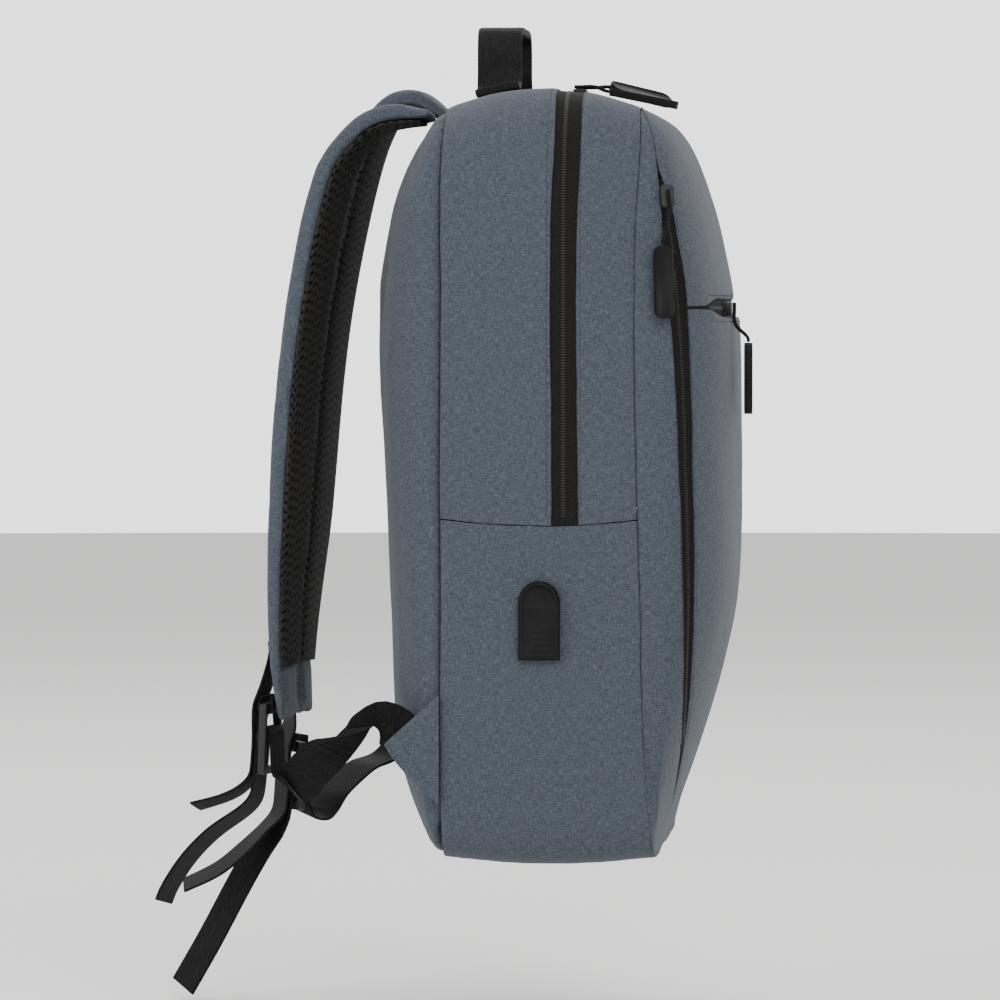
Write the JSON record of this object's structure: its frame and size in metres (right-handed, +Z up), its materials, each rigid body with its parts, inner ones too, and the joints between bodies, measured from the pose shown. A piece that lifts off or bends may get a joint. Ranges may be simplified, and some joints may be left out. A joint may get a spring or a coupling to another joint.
{
  "type": "backpack",
  "caption": "Upright box-shaped backpack with a zip over the top and down both sides, a zipped front pocket, a grab handle, padded shoulder straps with buckles and a side charging port.",
  "frame": {"origin": "underside of the top span of the grab handle, at its middle, where a hook or a hand holds it", "axes": "+Z up, -Y to the front with the pocket, +Y to the wearer's back, -X to the wearer's left"},
  "size_m": [0.3039, 0.3454, 0.56],
  "materials": {
    "fabric": "woven, two-tone melange",
    "net": "knitted spacer net",
    "webbing": "woven, matt",
    "cord": "braided",
    "zip_tape": "coil on woven tape",
    "buckle": "moulded, satin",
    "slider": "satin",
    "rubber": "satin"
  },
  "bodies": {
    "root": {"back_panel": "fabric", "rear_gusset": "fabric", "front_gusset": "fabric", "side_pocket_left": "fabric", "side_pocket_right": "fabric", "base_panel": "fabric", "front_upper_panel": "fabric", "front_pocket_panel": "fabric", "front_side_left": "fabric", "front_side_right": "fabric", "shoulder_strap_left": "fabric", "shoulder_strap_right": "fabric", "strap_tab_left": "fabric", "strap_tab_right": "fabric", "strap_mesh_left": "net", "strap_mesh_right": "net", "grab_handle": "webbing", "adjuster_left": "webbing", "adjuster_right": "webbing", "buckle_loop_left": "webbing", "buckle_loop_right": "webbing", "strap_webbing_left": "webbing", "strap_webbing_right": "webbing", "pull_cord_top_left": "cord", "pull_cord_top_right": "cord", "pull_cord_side": "cord", "pull_cord_front": "cord", "main_zip": "zip_tape", "front_zip": "zip_tape", "side_front_zip": "zip_tape", "ladder_lock_left": "buckle", "ladder_lock_right": "buckle", "zip_slider_top_left": "slider", "zip_slider_top_right": "slider", "zip_slider_side": "slider", "zip_slider_front": "slider", "pull_grip_top_left": "rubber", "pull_grip_top_right": "rubber", "pull_grip_side": "rubber", "pull_grip_front": "rubber", "usb_port": "rubber"}
  },
  "joints": []
}
